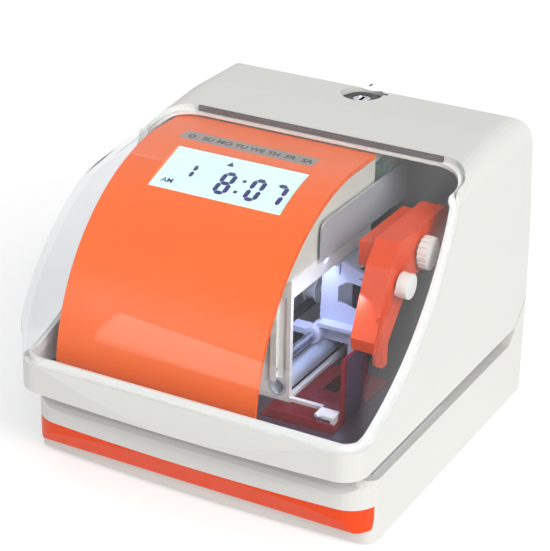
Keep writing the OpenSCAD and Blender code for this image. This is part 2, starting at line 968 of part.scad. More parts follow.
module print_head() {
    nose_z = floor_z + mask_t + clear;
    color(dark) {
        rod_z(print_x, head_y, head_z, head_d);
        slab([print_x - nose_d, print_x + nose_d], [plate_y[1], head_y], [bracket_low + 2, bracket_low + 7]);
    }
    color(steel) {
        translate([print_x, head_y, head_z[1]])
            cylinder(d1 = head_d, d2 = head_d - 4, h = 2);
        translate([print_x, head_y, nose_z])
            cylinder(d1 = nose_d, d2 = 2 * nose_d, h = head_z[0] - nose_z);
    }
}

module drive_belt() {
    color(dark)
        difference() {
            belt_loop(pulley_r + belt_t / 2);
            belt_loop(pulley_r - belt_t / 2);
        }
}

module belt_loop(r) {
    rod_x(belt_x, pulley_front_y, belt_z, 2 * r);
    rod_x(belt_x, pulley_rear_y, belt_z, 2 * r);
    slab(belt_x, [pulley_front_y, pulley_rear_y], [belt_z - r, belt_z + r]);
}

// a belt pulley whose flanges end level with the belt's back
module pulley(y, bore) {
    r = pulley_r - belt_t / 2 - run;
    difference() {
        union() {
            rod_x(pulley_x, y, belt_z, 2 * r);
            for (x = [pulley_x[0], belt_x[1] + clear])
                rod_x([x, x + flange_w - clear], y, belt_z, 2 * (pulley_r + belt_t / 2));
        }
        rod_x([pulley_x[0] - cut, pulley_x[1] + cut], y, belt_z, bore);
    }
}

module front_pulley() {
    color(white)
        pulley(pulley_front_y, axle_d + 2 * run);
}

module pulley_axle() {
    color(steel) {
        rod_x([frame_left, pulley_x[1] + flange_w], pulley_front_y, belt_z, axle_d);
        for (x = [[frame_left + frame_t, pulley_x[0] - clear], [pulley_x[1] + clear, pulley_x[1] + flange_w]])
            rod_x(x, pulley_front_y, belt_z, axle_d + 2);
    }
}

module drive_pulley() {
    color(white)
        pulley(pulley_rear_y, axle_d - 1);
    color(steel) {
        rod_x([gear_x[0] - cut, pulley_x[1] + flange_w], pulley_rear_y, belt_z, axle_d);
        rod_x([frame_left + frame_t + clear, pulley_x[0] + clear], pulley_rear_y, belt_z, axle_d + 2);
    }
}

// a spur gear about X, turned so that a tooth points up at an angle from the rear
module gear(y, z, teeth, turn, bore) {
    m = gear_module;
    r = m * teeth / 2;
    tip = r + 0.8 * m;
    root = r - 1.6 * m;
    translate([gear_x[0], y, z])
        rotate([turn, 0, 0])
            rotate([90, 0, 90])
                difference() {
                    linear_extrude(gear_w)
                        union() {
                            circle(r = r - 1.25 * m);
                            for (i = [0:teeth - 1])
                                rotate(i * 360 / teeth)
                                    polygon([[root, -0.95 * m], [r, -0.66 * m], [tip, -0.34 * m],
                                             [tip, 0.34 * m], [r, 0.66 * m], [root, 0.95 * m]]);
                        }
                    translate([0, 0, -cut])
                        cylinder(d = bore, h = gear_w + 2 * cut);
                }
}

module drive_gear() {
    color(white)
        gear(pulley_rear_y, belt_z, gear_teeth, mesh_angle, axle_d + 2 * fit);
}

module motor_pinion() {
    color(steel)
        gear(motor_y, motor_z, pinion_teeth, mesh_angle + 180 + 180 / pinion_teeth, motor_axle_d + 2 * fit);
}

module drive_motor() {
    y = [motor_y - motor_d / 2, motor_y + motor_d / 2];
    color(grey)
        rod_x([motor_x - motor_l, motor_x], motor_y, motor_z, motor_d);
    color(steel) {
        rod_x([motor_x - cut, gear_x[1]], motor_y, motor_z, motor_axle_d);
        slab([motor_x, motor_x + motor_plate_t], y, [floor_z, motor_z + motor_d / 2]);
        slab([motor_x - motor_foot, motor_x + motor_plate_t], y, [floor_z, floor_z + motor_plate_t]);
    }
}

// ---------------------------------------------------------------- ribbon

mask_in = 20.4;
mask_left = frame_right - 5.3;
mask_right = side_at(floor_z, wall) - mask_in;
mask_front = frame_front - 14;
mask_rear = print_y[1] + 2;
mask_wall_t = 1;
mask_wall_y = [mask_front + 8, mask_front + 28];
cassette_z = frame_top - 2;
cassette_drop = 22;
mask_lip_h = 4;
locator_x = mask_right - 7;
locator_y = mask_front + 2.8;
locator_d = 2;
locator_h = 5;
clip_x = [mask_right - 10, mask_right - 2];
clip_y = [frame_front - 9, frame_front - 3];
clip_t = 1.4;
clip_h = 3.2;

// the tinted mask between the ribbon and the paper, with a wall along its right side
module ribbon_mask() {
    z = [floor_z, floor_z + mask_t];
    past_foot = frame_right + foot_l + clear;
    color(red)
        difference() {
            union() {
                slab([frame_right + clear, mask_right], [frame_front + frame_t + clear, mask_rear], z);
                slab([mask_left, mask_right], [mask_front, frame_front - clear], z);
                slab([past_foot, mask_right], [mask_front, mask_rear], z);
                slab([mask_right - mask_wall_t, mask_right], mask_wall_y,
                     [floor_z, cassette_z - cassette_drop - clear]);
                slab([mask_left + leg_w, mask_right], [mask_front, mask_front + mask_wall_t],
                     [floor_z, floor_z + mask_lip_h]);
            }
            slab([mask_left - cut, frame_right + cut], [frame_front - rib_out - clear, frame_front], z);
            print_slot(mask_slot_w, [floor_z - cut, floor_z + mask_t + cut]);
            rod_z(locator_x, locator_y, [floor_z - cut, floor_z + 2 * cut], locator_d + 2 * clear);
        }
}

// a small hook over the mask's floor, beside the frame's foot
module mask_clip() {
    low = floor_z + mask_t;
    color(white)
        difference() {
            slab(clip_x, clip_y, [low, low + clip_h]);
            slab([clip_x[0] - cut, clip_x[1] - clip_t], [clip_y[0] - cut, clip_y[1] + cut],
                 [low - cut, low + clip_h - clip_t]);
        }
}

module locating_pin() {
    color(steel)
        rod_z(locator_x, locator_y, [floor_z, floor_z + locator_h], locator_d);
}

cassette_x = [mask_right - 2, mask_right + 8];
cassette_box = 7;
hub_y = frame_front + 41;
hub_z = cassette_z + 6;
hub_d = 5;
wheel_y = frame_front + 22;
wheel_d = 10;
wheel_axle_d = 4;
wheel_w = 4;
knob_w = 3.5;
knob_ribs = 16;
rib_t = 1.2;
knob_off = 1;

// the cassette's flat shell seen from the side, with its arm down to the ribbon
module cassette_outline() {
    translate([frame_front, cassette_z])
        polygon([[14, 9], [22, 17], [62, 17], [66, 12], [66, -2], [32, -2], [cassette_drop - 8, -cassette_drop],
                 [4, -cassette_drop], [3, 5 - cassette_drop]]);
}

module cassette_chamber() {
    translate([frame_front, cassette_z])
        polygon([[6, 3 - cassette_drop], [13, 3 - cassette_drop], [31, 1], [31, 12], [24, 12]]);
}

module ribbon_cassette() {
    finger_y = [frame_front + 6, frame_front + 10];
    bore_x = [cassette_x[0] - cassette_box - cut, cassette_x[1] + cut];
    color(orange)
        difference() {
            union() {
                along_x(cassette_x)
                    cassette_outline();
                slab([cassette_x[0] - cassette_box, cassette_x[0] + cut],
                     [frame_front + 22, frame_front + 60], [cassette_z + 4, cassette_z + 14]);
                slab([cassette_x[1] - cut, cassette_x[1] + 2], finger_y, [cassette_z - 28, cassette_z - 8]);
            }
            along_x([cassette_x[0] - cut, cassette_x[1] - 2 * holder_w / 3])
                cassette_chamber();
            rod_x(bore_x, hub_y, hub_z, hub_d);
            rod_x(bore_x, wheel_y, cassette_z, wheel_axle_d);
        }
}

module ribbon_knob() {
    x = cassette_x[1] + knob_off;
    color(white) {
        rod_x([x, x + knob_w], hub_y, hub_z, knob_d - 1);
        for (i = [0:knob_ribs - 1])
            translate([x, hub_y, hub_z])
                rotate([i * 360 / knob_ribs, 0, 0])
                    slab([0, knob_w], [-rib_t / 2, rib_t / 2], [0, knob_d / 2]);
        rod_x([cassette_x[0] - cassette_box, x + run], hub_y, hub_z, hub_d - 2 * run);
    }
}

module supply_wheel() {
    x = cassette_x[1] + knob_off;
    color(white) {
        rod_x([x, x + wheel_w], wheel_y, cassette_z, wheel_d);
        rod_x([x - wheel_w, x + run], wheel_y, cassette_z, wheel_axle_d - 2 * run);
    }
}

ribbon_t = 0.5;

module inked_ribbon() {
    color([0.25, 0.05, 0.2])
        slab([mask_right + clear, mask_right + clear + ribbon_t], [mask_wall_y[0] + 2, mask_wall_y[1] - 4],
             [floor_z + cut, cassette_z - cassette_drop]);
}

holder_w = 3;
holder_y = [mask_rear + 1, frame_front + 66];

// the black upright and shelf that carry the cassette
module cassette_holder() {
    x = cassette_x[0] - clear;
    shelf = cassette_z - 2 - run;
    color(dark) {
        slab([x - holder_w, x], holder_y, [floor_z, cassette_z + holder_w]);
        slab([x - cut, cassette_x[1]], [holder_y[0] + 2, holder_y[1]], [shelf - holder_w, shelf]);
        slab([x - cut, cassette_x[1]], [holder_y[1] - 2 * holder_w, holder_y[1]], [floor_z, shelf]);
    }
}

// ---------------------------------------------------------------- display module

panel_r = front_r - panel_set;
panel_y = curve_y + 2.3;
panel_z = ramp_at(panel_y, cover_t) - panel_under - panel_r;
panel_end = window_top - gasket_w;
module_r = panel_r - panel_t - clear;
module_z = frame_top;
module_rear = curve_y + 39.3;
module_top = ramp_at(window_top - seat_w, ring_low) - 5 * clear;
module_x = [panel_left + 2, panel_right];
module_t = 2;
button_x = -10;
button_y = module_rear - 15;
board_y = [module_rear - 10.8, module_rear - 10.8 + board_t];
slot_y = [board_y[0] - 10.7, board_y[1] + clear];
slot_z = [module_top - 16, module_top - 3];
plate_off = 1.5;
plate_t = 1.2;
plate_h = 16;
plate_r = 4;
plate_front = frame_front + 20;
plate_z = [frame_top + clear, frame_top + clear + plate_h];
standoff_d = 5;

// the quarter of a circle in front of and above the panel's own centre, down to a height
module panel_arc(r, low) {
    intersection() {
        translate([panel_y, panel_z])
            circle(r = r, $fn = 180);
        polygon([[-far, low], [panel_y, low], [panel_y, far], [-far, far]]);
    }
}

// the panel's section: that arc, with a level run behind its top
module panel_ring(r, low) {
    panel_arc(r, low);
    polygon([[panel_y, low], [panel_end, low], [panel_end, panel_z + r], [panel_y, panel_z + r]]);
}

module module_outline(t) {
    r = module_r - t;
    rise = panel_end + clear + t;
    panel_arc(r, module_z + t);
    polygon([[panel_y, module_z + t], [module_rear - t, module_z + t], [module_rear - t, module_top - t],
             [rise, module_top - t], [rise, panel_z + r], [panel_y, panel_z + r]]);
}

module module_case() {
    room = [module_x[0] + module_t, module_x[1] - module_t];
    color(white)
        difference() {
            along_x(module_x)
                module_outline(0);
            along_x(room)
                module_outline(module_t);
            // open at the front, behind the panel
            along_x(room)
                difference() {
                    translate([-far, module_z + 2 * module_t])
                        square([far + panel_y, far]);
                    translate([panel_y, panel_z])
                        circle(r = module_r - module_t - cut);
                }
            slab([room[1] - cut, module_x[1] + cut], slot_y, slot_z);
            for (i = [-1:1])
                rod_z(button_x + i * button_pitch, button_y, [module_top - module_t - cut, module_top + cut],
                      button_d + 2 * clear);
        }
    color(white)
        for (y = [plate_front + 10, module_rear - 20])
            rod_x([module_x[1] - cut, module_x[1] + plate_off], y, (plate_z[0] + plate_z[1]) / 2, standoff_d);
}

module side_plate() {
    x = module_x[1] + plate_off;
    rear = module_rear + 4;
    color(steel)
        along_x([x, x + plate_t])
            polygon(concat(
                [[plate_front, plate_z[0]], [rear, plate_z[0]], [rear, plate_z[1]]],
                arc([plate_front + plate_r, plate_z[1] - plate_r], plate_r, 90, 180)));
}

strip_left = lcd_x - lcd_w / 2 - 3.7;
strip_right = strip_left + lcd_w + 1.5;
strip_t = 1;

module display_panel() {
    color(orange)
        difference() {
            along_x([panel_left, panel_right])
                difference() {
                    panel_ring(panel_r, floor_z + clear);
                    panel_ring(panel_r - panel_t, floor_z - cut);
                }
            on_curve(lcd_angle)
                slab([lcd_x - lcd_w / 2, lcd_x + lcd_w / 2], [-lcd_h / 2, lcd_h / 2], [-far / 20, cut]);
            on_curve(strip_angle)
                slab([strip_left, strip_right], [-strip_h / 2, strip_h / 2], [-strip_t - run, cut]);
        }
}

// a place on the display panel's face: Y runs up the panel, Z out of it
module on_curve(angle) {
    translate([0, panel_y, panel_z])
        rotate([angle, 0, 0])
            translate([0, 0, panel_r])
                children();
}

module day_strip() {
    half = strip_h / 2 - run;
    color(grey)
        intersection() {
            along_x([-far, far])
                panel_ring(panel_r, floor_z);
            on_curve(strip_angle)
                slab([strip_left + run, strip_right - run], [-half, half], [-strip_t, cut]);
        }
}

lcd_wall = 3;
lcd_lip = 1.5;
glass_z = [-glass_in - glass_t, -glass_in];
light_z = [glass_z[0] - light_t, glass_z[0]];

// a block over the display's window, wider than it by g
module lcd_block(g, z) {
    on_curve(lcd_angle)
        slab([lcd_x - lcd_w / 2 - g, lcd_x + lcd_w / 2 + g], [-lcd_h / 2 - g, lcd_h / 2 + g], z);
}

module lcd_frame() {
    color(dark)
        intersection() {
            difference() {
                lcd_block(lcd_wall, [light_z[0] - module_t, 0]);
                lcd_block(-lcd_lip, [-far / 4, cut]);
                lcd_block(0, [light_z[0], cut]);
            }
            rod_x([-far, far], panel_y, panel_z, 2 * (panel_r - panel_t - run));
        }
}

module lcd_glass() {
    color([0.78, 0.91, 0.88])
        lcd_block(-run, glass_z);
}

module lcd_backlight() {
    color(white)
        lcd_block(-run, light_z);
}

// an upright board whose upper part reaches out through the slot in the module's wall
module control_board() {
    left = module_x[0] + module_t + clear;
    color(board_green) {
        slab([left, module_x[1] + plate_off - clear], board_y, [slot_z[0] + clear, slot_z[1] - clear]);
        slab([left, module_x[1] - module_t - clear], board_y, [module_z + module_t + clear, slot_z[0] + cut]);
    }
}

module set_button(i) {
    x = button_x + i * button_pitch;
    low = module_top - module_t - clear;
    color(grey) {
        rod_z(x, button_y, [low - cut, module_top + clear + button_travel], button_d);
        rod_z(x, button_y, [low - cut, low], button_d + 5 * clear);
    }
}

back_w = 26;
back_h = 20;
tongue_w = 8;
tongue_t = 1.5;

// the upright behind the module, with the tongue that the lock's cam catches
module back_plate() {
    y = module_rear + clear;
    lip = cam_z + cam_t + 3 * clear;
    color(steel) {
        slab([-back_w, back_w], [y, y + tongue_t], [floor_z, module_z + back_h]);
        slab([lock_x - tongue_w, lock_x + tongue_w], [y, y + tongue_t], [floor_z, lip + tongue_t]);
        slab([lock_x - tongue_w, lock_x + tongue_w], [y, lock_y - cam_reach + 5], [lip, lip + tongue_t]);
        slab([-back_w, back_w], [y, y + tongue_w], [floor_z, floor_z + tongue_t]);
    }
}

lamp_w = 16;
lamp_l = 12;
lamp_d = 4;
lamp_h = 2.4;

// the small board under the module whose two lamps light the printer bay
module bay_lamp() {
    low = module_z - board_t;
    front = frame_front + 14;
    x = frame_right - frame_t - clear - lamp_w;
    color(board_green)
        slab([x, x + lamp_w], [front, front + lamp_l], [low, module_z]);
    color([0.9, 0.95, 1])
        for (i = [1, 3])
            rod_z(x + lamp_w / 2, front + i * lamp_l / 4, [low - lamp_h, low], lamp_d);
}

base_housing();
base_trim();
bottom_plate();
rubber_feet();
bottom_screws();
paper_table();
platen_pad();
paper_stop();
support_column();
deck_plate();
bay_floor();
printer_frame();
carriage_shaft();
guide_tube();
carriage();
print_head();
drive_belt();
front_pulley();
pulley_axle();
drive_pulley();
drive_gear();
drive_motor();
motor_pinion();
ribbon_mask();
mask_clip();
locating_pin();
cassette_holder();
ribbon_cassette();
ribbon_knob();
supply_wheel();
inked_ribbon();
module_case();
display_panel();
day_strip();
lcd_frame();
lcd_glass();
lcd_backlight();
control_board();
set_button(-1);  // set_button_left
set_button(0);  // set_button_middle
set_button(1);  // set_button_right
side_plate();
back_plate();
bay_lamp();
upper_case();
clear_cover();
cover_gasket();
lock_barrel();
lock_plug();
lock_cam();
lock_nut();
trigger_lever();
trigger_pin();
power_board();
dc_inlet();
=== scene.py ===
import bmesh, bpy, math
from mathutils import Matrix, Vector


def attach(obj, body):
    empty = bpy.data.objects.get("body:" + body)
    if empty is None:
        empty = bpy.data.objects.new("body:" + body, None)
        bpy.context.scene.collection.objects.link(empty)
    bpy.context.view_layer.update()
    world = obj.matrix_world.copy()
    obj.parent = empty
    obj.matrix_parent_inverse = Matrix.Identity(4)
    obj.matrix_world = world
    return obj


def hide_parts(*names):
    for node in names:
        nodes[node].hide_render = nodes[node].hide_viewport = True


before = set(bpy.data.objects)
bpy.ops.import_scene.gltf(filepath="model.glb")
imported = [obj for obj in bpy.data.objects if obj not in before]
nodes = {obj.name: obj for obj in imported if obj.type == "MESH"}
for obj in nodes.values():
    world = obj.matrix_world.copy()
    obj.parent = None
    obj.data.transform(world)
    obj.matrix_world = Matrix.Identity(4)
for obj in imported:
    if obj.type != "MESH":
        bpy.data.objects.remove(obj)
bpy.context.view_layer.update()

scene = bpy.context.scene
print("stage: frame loaded,", len(nodes), "nodes")


def metres(*values):
    return [v / 1000 for v in values]


def placed(name, data):  # a new object at the origin, in the scene
    thing = bpy.data.objects.new(name, data)
    scene.collection.objects.link(thing)
    return thing


# Fitted to the picture: degrees, and millimetres in the part's own frame. The clip is in metres.
cameraSetup = {"target": (-7.821, 9.2, 62.877), "azimuth": 28.332, "elevation": 25.325, "roll": 1.094,
               "distance": 789.2, "lens": 126.71, "sensor": 36, "clip": (0.05, 20)}


def makeCamera(settings):
    az, el, roll = (math.radians(settings[k]) for k in ("azimuth", "elevation", "roll"))
    back = Vector((math.sin(az) * math.cos(el), -math.cos(az) * math.cos(el), math.sin(el)))
    right = (-back).cross(Vector((0, 0, 1))).normalized()
    up = right.cross(-back)
    turnedRight = right * math.cos(roll) + up * math.sin(roll)
    turnedUp = up * math.cos(roll) - right * math.sin(roll)
    camera = placed("camera", bpy.data.cameras.new("camera"))
    place = Vector(settings["target"]) / 1000 + back * settings["distance"] / 1000
    turn = Matrix((turnedRight, turnedUp, back)).transposed().to_4x4()
    camera.matrix_world = Matrix.Translation(place) @ turn
    camera.data.lens = settings["lens"]
    camera.data.sensor_width = settings["sensor"]
    camera.data.clip_start, camera.data.clip_end = settings["clip"]
    scene.camera = camera


makeCamera(cameraSetup)
print("stage: camera placed")


def toLinear(r, g, b):  # a colour written from 0 to 255, as the shaders take it
    return tuple(v / 3294.6 if v <= 10 else ((v / 255 + 0.055) / 1.055) ** 2.4 for v in (r, g, b)) + (1,)


def setInputs(node, values):
    for key, value in values.items():
        node.inputs[key].default_value = value


def addNode(tree, kind, inputs=(), **settings):
    node = tree.nodes.new(kind)
    for key, value in settings.items():
        setattr(node, key, value)
    for key, value in dict(inputs).items():
        if isinstance(value, bpy.types.NodeSocket):
            tree.links.new(value, node.inputs[key])
        else:
            node.inputs[key].default_value = value
    return node


def newGroup(name, inputs, outputs):
    group = bpy.data.node_groups.new(name, "ShaderNodeTree")
    for label, value in inputs.items():
        kind = "NodeSocketFloat"
        if isinstance(value, tuple):
            kind = "NodeSocketColor" if len(value) == 4 else "NodeSocketVector"
        group.interface.new_socket(name=label, in_out="INPUT", socket_type=kind).default_value = value
    for label in outputs:
        kind = "NodeSocketColor" if label == "Colour" else "NodeSocketFloat"
        group.interface.new_socket(name=label, in_out="OUTPUT", socket_type=kind)
    return group, group.nodes.new("NodeGroupInput").outputs, group.nodes.new("NodeGroupOutput").inputs


def putOut(group, result, **values):
    for label, value in values.items():
        group.links.new(value, result[label])


def objectPlace(tree):
    return addNode(tree, "ShaderNodeTexCoord").outputs["Object"]


def mathNode(tree, operation, first, second):
    return addNode(tree, "ShaderNodeMath", {0: first, 1: second}, operation=operation).outputs[0]


def noise(tree, place, scale, detail, **more):
    values = {"Vector": place, "Scale": scale, "Detail": detail}
    values.update(more)
    return addNode(tree, "ShaderNodeTexNoise", values).outputs[0]


def mapped(tree, value, span, low, high):
    return addNode(tree, "ShaderNodeMapRange", {0: value, 1: span[0], 2: span[1], 3: low, 4: high}).outputs[0]


def brightened(tree, colour, value):
    return addNode(tree, "ShaderNodeHueSaturation", {"Color": colour, "Value": value}).outputs[0]


def mixedColour(tree, share, first, second):
    return addNode(tree, "ShaderNodeMix", {0: share, 6: first, 7: second}, data_type="RGBA").outputs[2]


def grainScale(tree, millimetres):
    return mathNode(tree, "DIVIDE", 1000.0, millimetres)


def spreadAround(tree, value, middle, spread):  # a 0-to-1 pattern turned to middle plus or minus spread
    low = mathNode(tree, "SUBTRACT", middle, spread)
    high = mathNode(tree, "ADD", middle, spread)
    return mapped(tree, value, (0.3, 0.7), low, high)


def makeMouldedSkin():  # eroded mould grain, slow colour drift, patches of polish
    group, given, result = newGroup("mouldedSkin", {
        "Colour": (0.8, 0.8, 0.8, 1), "Mottle": 0.02, "Grain": 0.35, "Roughness": 0.45, "Spread": 0.06},
        ("Colour", "Roughness", "Height"))
    place = objectPlace(group)
    fine = noise(group, place, grainScale(group, given["Grain"]), 3.0, Roughness=0.55)
    broad = noise(group, place, 22.0, 5.0)
    patch = noise(group, place, 70.0, 4.0)
    drift = spreadAround(group, broad, 1.0, given["Mottle"])
    polish = spreadAround(group, patch, given["Roughness"], given["Spread"])
    putOut(group, result, Colour=brightened(group, given["Colour"], drift), Roughness=polish, Height=fine)
    return group


def makeBrushedMetal():  # fine lines along one axis, with broader bands among them
    group, given, result = newGroup("brushedMetal", {
        "Colour": (0.6, 0.6, 0.62, 1), "Line": 0.12, "Across": (1.0, 0.02, 1.0), "Roughness": 0.3,
        "Spread": 0.1}, ("Colour", "Roughness", "Height"))
    drawn = addNode(group, "ShaderNodeVectorMath", {0: objectPlace(group), 1: given["Across"]},
                    operation="MULTIPLY").outputs[0]
    lines = noise(group, drawn, grainScale(group, given["Line"]), 4.0)
    bands = noise(group, drawn, 260.0, 2.0)
    drift = spreadAround(group, bands, 1.0, 0.07)
    polish = spreadAround(group, lines, given["Roughness"], given["Spread"])
    putOut(group, result, Colour=brightened(group, given["Colour"], drift), Roughness=polish, Height=lines)
    return group


def makeClearSheet():  # flow lines and faint handling marks in clear plastic
    group, given, result = newGroup("clearSheet", {"Roughness": 0.03, "Spread": 0.02, "Wave": 30.0},
                                    ("Roughness", "Height"))
    place = objectPlace(group)
    smear = noise(group, place, 45.0, 5.0, Distortion=1.2)
    flow = noise(group, place, given["Wave"], 0.0)
    marks = spreadAround(group, smear, given["Roughness"], given["Spread"])
    putOut(group, result, Roughness=marks, Height=flow)
    return group


def makeBoardTracks():  # copper tracks under solder mask, with round pads
    group, given, result = newGroup("boardTracks", {
        "Colour": (0.02, 0.2, 0.08, 1), "Track": (0.05, 0.32, 0.14, 1), "Pad": (0.6, 0.6, 0.55, 1),
        "Pitch": 3.0}, ("Colour", "Roughness", "Height"))
    place = objectPlace(group)
    scale = grainScale(group, given["Pitch"])
    cells = addNode(group, "ShaderNodeTexVoronoi", {"Vector": place, "Scale": scale, "Randomness": 0.6},
                    feature="F2", distance="CHEBYCHEV").outputs[0]
    dots = addNode(group, "ShaderNodeTexVoronoi", {"Vector": place, "Scale": scale,
                                                   "Randomness": 0.8}).outputs[0]
    track = mapped(group, cells, (0.56, 0.6), 0.0, 1.0)
    pad = mapped(group, dots, (0.12, 0.15), 1.0, 0.0)
    tracked = mixedColour(group, track, given["Colour"], given["Track"])
    padded = mixedColour(group, pad, tracked, given["Pad"])
    putOut(group, result, Colour=padded, Roughness=mapped(group, pad, (0.0, 1.0), 0.35, 0.22), Height=track)
    return group


mouldedSkin, brushedMetal = makeMouldedSkin(), makeBrushedMetal()
clearSheet, boardTracks = makeClearSheet(), makeBoardTracks()
print("stage: shader groups built")


def newMaterial(name):
    material = bpy.data.materials.new(name)
    material.use_nodes = True
    tree = material.node_tree
    return material, tree, tree.nodes["Principled BSDF"]


def dressed(tree, shader, group, values, bump, depth):  # puts a group on a shader; depth is in mm
    skin = tree.nodes.new("ShaderNodeGroup")
    skin.node_tree = group
    setInputs(skin, values)
    if "Colour" in skin.outputs:
        tree.links.new(skin.outputs["Colour"], shader.inputs["Base Color"])
    tree.links.new(skin.outputs["Roughness"], shader.inputs["Roughness"])
    relief = addNode(tree, "ShaderNodeBump", {"Strength": bump, "Distance": depth / 1000,
                                              "Height": skin.outputs["Height"]})
    tree.links.new(relief.outputs[0], shader.inputs["Normal"])


# What a finish has unless it says otherwise. Grain, line, pitch and depth are in millimetres.
usual = {"plastic": {"mottle": 0.02, "spread": 0.05, "bump": 0.2, "depth": 0.04, "ior": 1.46},
         "metal": {"line": 0.12, "across": (1.0, 0.02, 1.0), "spread": 0.08, "bump": 0.15, "depth": 0.02},
         "clear": {"through": 1.0, "coatRoughness": 0.02, "depth": 0.2},
         "board": {"bump": 0.4, "depth": 0.05}}


def plastic(name, look):
    material, tree, shader = newMaterial(name)
    dressed(tree, shader, mouldedSkin, {
        "Colour": toLinear(*look["colour"]), "Mottle": look["mottle"], "Grain": look["grain"],
        "Roughness": look["roughness"], "Spread": look["spread"]}, look["bump"], look["depth"])
    shader.inputs["IOR"].default_value = look["ior"]
    if "glow" in look:
        setInputs(shader, {"Emission Color": toLinear(*look["glowColour"]),
                           "Emission Strength": look["glow"]})
    return material


def metal(name, look):
    material, tree, shader = newMaterial(name)
    dressed(tree, shader, brushedMetal, {
        "Colour": toLinear(*look["colour"]), "Line": look["line"], "Across": look["across"],
        "Roughness": look["roughness"], "Spread": look["spread"]}, look["bump"], look["depth"])
    shader.inputs["Metallic"].default_value = 1.0
    return material


def clearPlastic(name, look):  # lets lamps through: a shadow ray sees a plain tint
    material, tree, shader = newMaterial(name)
    dressed(tree, shader, clearSheet, {"Roughness": look["roughness"], "Spread": look["spread"]},
            look["bump"], look["depth"])
    setInputs(shader, {"Base Color": toLinear(*look["colour"]), "Transmission Weight": look["through"],
                       "IOR": look["ior"], "Coat Weight": look["coat"],
                       "Coat Roughness": look["coatRoughness"]})
    through = addNode(tree, "ShaderNodeBsdfTransparent", {"Color": toLinear(*look["shade"])})
    path = addNode(tree, "ShaderNodeLightPath")
    mixed = addNode(tree, "ShaderNodeMixShader", {0: path.outputs["Is Shadow Ray"], 1: shader.outputs[0],
                                                  2: through.outputs[0]})
    tree.links.new(mixed.outputs[0], tree.nodes["Material Output"].inputs[0])
    return material


def circuitBoard(name, look):
    material, tree, shader = newMaterial(name)
    dressed(tree, shader, boardTracks, {
        "Colour": toLinear(*look["colour"]), "Track": toLinear(*look["track"]),
        "Pitch": look["pitch"]}, look["bump"], look["depth"])
    return material


